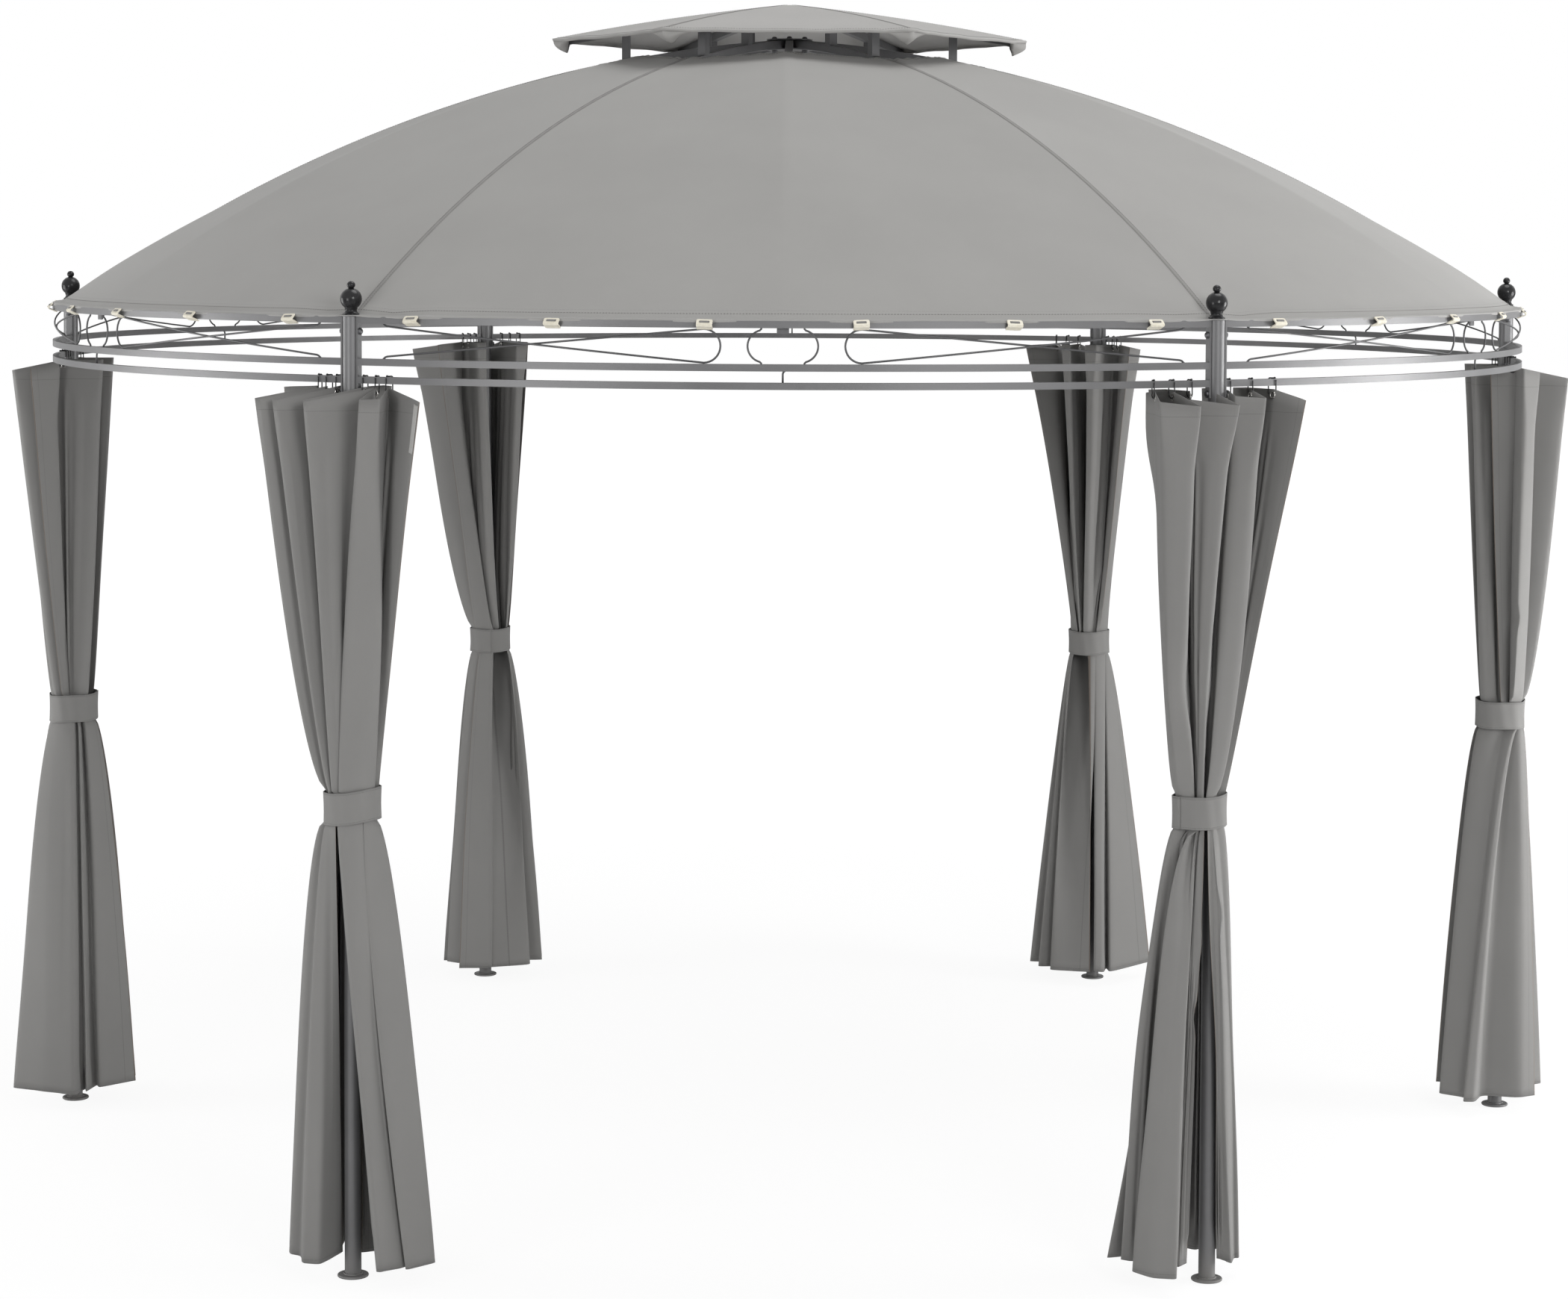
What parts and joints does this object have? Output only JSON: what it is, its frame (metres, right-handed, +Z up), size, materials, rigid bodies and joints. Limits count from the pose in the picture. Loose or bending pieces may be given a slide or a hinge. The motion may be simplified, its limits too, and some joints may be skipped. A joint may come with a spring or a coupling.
{
  "type": "round garden pavilion with tied side curtains",
  "caption": "Round steel garden pavilion with a domed cloth canopy, a vented cap, scrollwork rails and a tied curtain at each post.",
  "frame": {"origin": "on the ground, below the centre of the roof", "axes": "+Z up; +X through post 1; the front bay faces -Y"},
  "size_m": [3.79, 3.5166, 2.6813],
  "materials": {
    "frame_steel": "anthracite powder coat, fine satin",
    "scroll_wire": "dark grey powder coat",
    "canopy_cloth": "grey woven polyester with a coated back",
    "curtain_cloth": "grey woven polyester",
    "black_finish": "gloss black",
    "clip_plastic": "cream moulded plastic"
  },
  "bodies": {
    "root": {"post_1": "frame_steel", "post_2": "frame_steel", "post_3": "frame_steel", "post_4": "frame_steel", "post_5": "frame_steel", "post_6": "frame_steel", "bay_frame_1": "frame_steel", "bay_frame_2": "frame_steel", "bay_frame_3": "frame_steel", "bay_frame_4": "frame_steel", "bay_frame_5": "frame_steel", "bay_frame_6": "frame_steel", "scrollwork_1": "scroll_wire", "scrollwork_2": "scroll_wire", "scrollwork_3": "scroll_wire", "scrollwork_4": "scroll_wire", "scrollwork_5": "scroll_wire", "scrollwork_6": "scroll_wire", "post_rib_1": "frame_steel", "post_rib_2": "frame_steel", "post_rib_3": "frame_steel", "post_rib_4": "frame_steel", "post_rib_5": "frame_steel", "post_rib_6": "frame_steel", "ridge_rib_1": "frame_steel", "ridge_rib_2": "frame_steel", "ridge_rib_3": "frame_steel", "ridge_rib_4": "frame_steel", "ridge_rib_5": "frame_steel", "ridge_rib_6": "frame_steel", "curtain_1": "curtain_cloth", "curtain_2": "curtain_cloth", "curtain_3": "curtain_cloth", "curtain_4": "curtain_cloth", "curtain_5": "curtain_cloth", "curtain_6": "curtain_cloth", "roof_hub": "frame_steel", "cap_frame": "frame_steel", "canopy": "canopy_cloth", "cap_canopy": "canopy_cloth", "finials": "black_finish", "tie_bands": "curtain_cloth", "curtain_hooks": "black_finish", "canopy_clips": "clip_plastic"}
  },
  "joints": []
}
